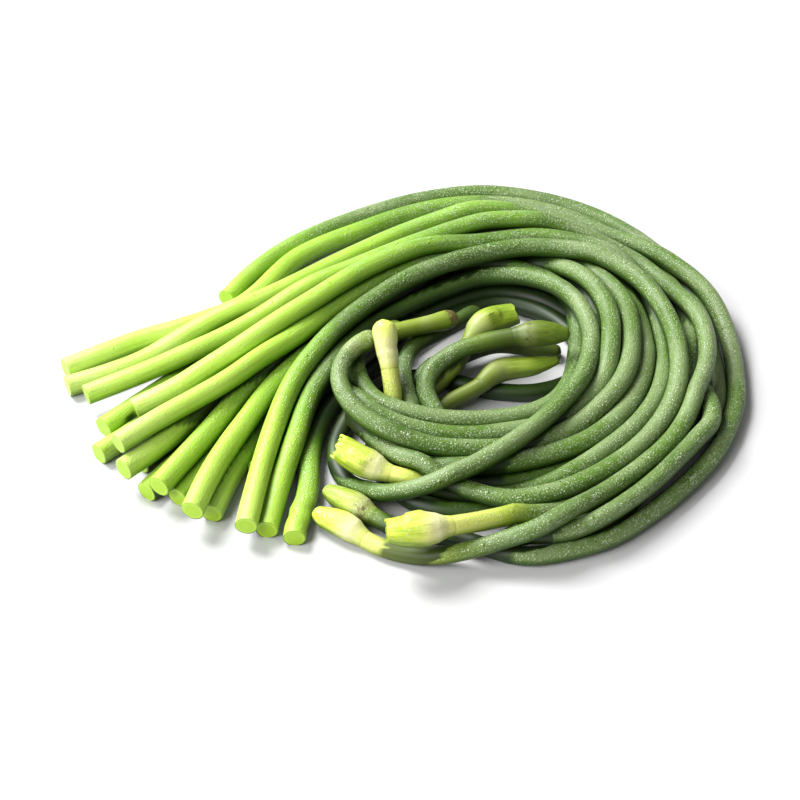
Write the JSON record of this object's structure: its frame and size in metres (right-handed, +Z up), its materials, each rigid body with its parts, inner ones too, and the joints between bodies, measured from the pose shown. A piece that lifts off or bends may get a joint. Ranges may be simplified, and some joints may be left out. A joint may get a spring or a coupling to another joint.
{
  "type": "bunch of garlic scapes",
  "caption": "Loose coiled bunch of garlic scapes: long round green flower stalks, their cut ends fanned out to one side and their pale buds curled in at the middle.",
  "frame": {"origin": "on the surface that the bunch lies on, under the middle of its bounding box", "axes": "+Z up; +X along the bunch, from the fanned cut ends towards the far side of the coil; +Y across it, towards the outside of the bend"},
  "size_m": [0.2658, 0.2254, 0.0365],
  "materials": {
    "stalk": "fresh plant skin: satin, faintly waxy, lime green at the cut ends and blue-green with a pale bloom round the coil",
    "bud": "fresh papery bud: satin, pale cream at the swelling and lime yellow along the ribbed beak"
  },
  "bodies": {
    "root": {"stalk_01": "stalk", "bud_01": "bud", "stalk_02": "stalk", "bud_02": "bud", "stalk_03": "stalk", "bud_03": "bud", "stalk_04": "stalk", "bud_04": "bud", "stalk_05": "stalk", "bud_05": "bud", "stalk_06": "stalk", "bud_06": "bud", "stalk_07": "stalk", "bud_07": "bud", "stalk_08": "stalk", "bud_08": "bud", "stalk_09": "stalk", "bud_09": "bud", "stalk_10": "stalk", "bud_10": "bud", "stalk_11": "stalk", "bud_11": "bud", "stalk_12": "stalk", "bud_12": "bud", "stalk_13": "stalk", "bud_13": "bud", "stalk_14": "stalk", "bud_14": "bud", "stalk_15": "stalk", "bud_15": "bud", "stalk_16": "stalk", "bud_16": "bud", "stalk_17": "stalk", "bud_17": "bud", "stalk_18": "stalk", "bud_18": "bud", "stalk_19": "stalk", "bud_19": "bud"}
  },
  "joints": []
}
